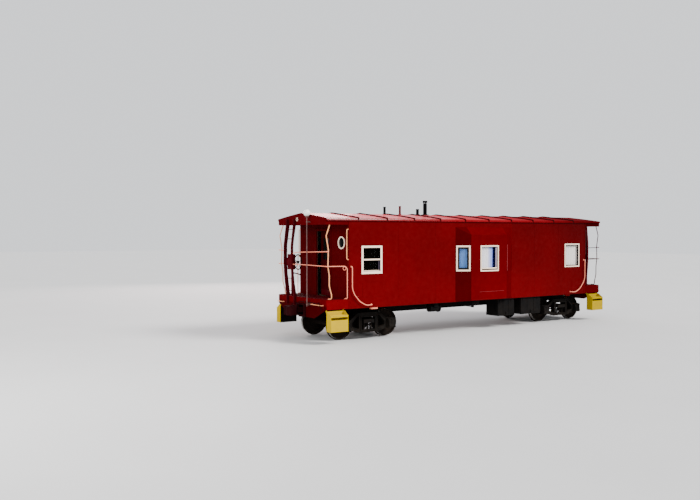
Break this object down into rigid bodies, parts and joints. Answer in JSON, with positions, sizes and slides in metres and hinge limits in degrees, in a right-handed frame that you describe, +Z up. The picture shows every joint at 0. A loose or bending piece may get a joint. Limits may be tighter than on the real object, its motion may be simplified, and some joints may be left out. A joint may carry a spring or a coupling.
{
  "type": "bay-window caboose",
  "caption": "Railway crew car with side bays, end platforms, corner steps and two pivoting two-axle trucks; doors swing and wheels roll.",
  "frame": {"origin": "under the middle of the car, at the lowest point of the wheel flanges", "axes": "+X along the car to its B end, +Y to its far side, +Z up"},
  "size_m": [13.144, 3.348, 4.2998],
  "materials": {
    "body_red": "gloss paint",
    "dark_red": "gloss paint",
    "roof_red": "semi-gloss paint",
    "white_trim": "semi-gloss paint",
    "window_glass": "clear, dark behind",
    "yellow": "semi-gloss paint",
    "cream": "semi-gloss paint",
    "black": "flat paint",
    "wheel_steel": "worn steel",
    "coupler_iron": "rusty",
    "post_grey": "flat paint",
    "white_globe": "opal",
    "floor_wood": "worn boards"
  },
  "bodies": {
    "carbody": {"air_reservoir": "black", "battery_box": "black", "bay_far": "body_red", "bay_near": "body_red", "bay_window_frames": "white_trim", "bay_window_glass": "window_glass", "brake_cylinder": "black", "brake_housing_a": "dark_red", "brake_housing_b": "dark_red", "brake_wheel_a": "black", "brake_wheel_b": "black", "cabin_floor": "floor_wood", "corner_poles": "cream", "end_grab_irons": "cream", "end_platform_a": "body_red", "end_platform_b": "body_red", "end_rails_a": "cream", "end_rails_b": "cream", "end_wall_a": "body_red", "end_wall_b": "body_red", "ladder_a": "dark_red", "ladder_b": "dark_red", "lamp_globe": "white_globe", "lamp_post": "post_grey", "porthole_glass": "window_glass", "porthole_rings": "white_trim", "roof": "roof_red", "roof_fascias": "body_red", "roof_ribs": "roof_red", "roof_vents": "black", "side_grab_irons": "cream", "side_wall_far": "body_red", "side_wall_near": "body_red", "side_window_frames": "white_trim", "side_window_glass": "window_glass", "smokestack": "black", "steps_a": "yellow", "steps_b": "yellow", "tool_box": "black", "underframe": "black"},
    "door_a": {"door_a": "body_red", "door_glass_a": "window_glass"},
    "door_b": {"door_b": "body_red", "door_glass_b": "window_glass"},
    "truck_a": {"truck_a_bolster": "black", "truck_a_side_frames": "black", "truck_a_springs": "black"},
    "truck_b": {"truck_b_bolster": "black", "truck_b_side_frames": "black", "truck_b_springs": "black"},
    "wheelset_1": {"wheelset_1": "wheel_steel"},
    "wheelset_2": {"wheelset_2": "wheel_steel"},
    "wheelset_3": {"wheelset_3": "wheel_steel"},
    "wheelset_4": {"wheelset_4": "wheel_steel"},
    "coupler_a": {"coupler_a": "coupler_iron"},
    "coupler_b": {"coupler_b": "coupler_iron"}
  },
  "joints": [
    {"name": "truck_a_swivel", "type": "hinge", "parent": "carbody", "child": "truck_a", "pos_m": [-4.3, 0, 0.62], "axis": [0, 0, 1], "range_deg": [-5, 5]},
    {"name": "truck_b_swivel", "type": "hinge", "parent": "carbody", "child": "truck_b", "pos_m": [4.3, 0, 0.62], "axis": [0, 0, 1], "range_deg": [-5, 5]},
    {"name": "wheelset_1_roll", "type": "hinge", "parent": "truck_a", "child": "wheelset_1", "pos_m": [-5.14, 0, 0.444], "axis": [0, 1, 0], "continuous": true},
    {"name": "wheelset_2_roll", "type": "hinge", "parent": "truck_a", "child": "wheelset_2", "pos_m": [-3.46, 0, 0.444], "axis": [0, 1, 0], "continuous": true},
    {"name": "wheelset_3_roll", "type": "hinge", "parent": "truck_b", "child": "wheelset_3", "pos_m": [3.46, 0, 0.444], "axis": [0, 1, 0], "continuous": true},
    {"name": "wheelset_4_roll", "type": "hinge", "parent": "truck_b", "child": "wheelset_4", "pos_m": [5.14, 0, 0.444], "axis": [0, 1, 0], "continuous": true},
    {"name": "door_a_swing", "type": "hinge", "parent": "carbody", "child": "door_a", "pos_m": [-5.175, -0.404, 2.275], "axis": [0, 0, -1], "range_deg": [-10, 80]},
    {"name": "door_b_swing", "type": "hinge", "parent": "carbody", "child": "door_b", "pos_m": [5.175, 0.404, 2.275], "axis": [0, 0, -1], "range_deg": [0, 90]},
    {"name": "coupler_a_swing", "type": "hinge", "parent": "carbody", "child": "coupler_a", "pos_m": [-5.35, 0, 0.901], "axis": [0, 0, 1], "range_deg": [-7, 7]},
    {"name": "coupler_b_swing", "type": "hinge", "parent": "carbody", "child": "coupler_b", "pos_m": [5.35, 0, 0.901], "axis": [0, 0, 1], "range_deg": [-7, 7]}
  ]
}
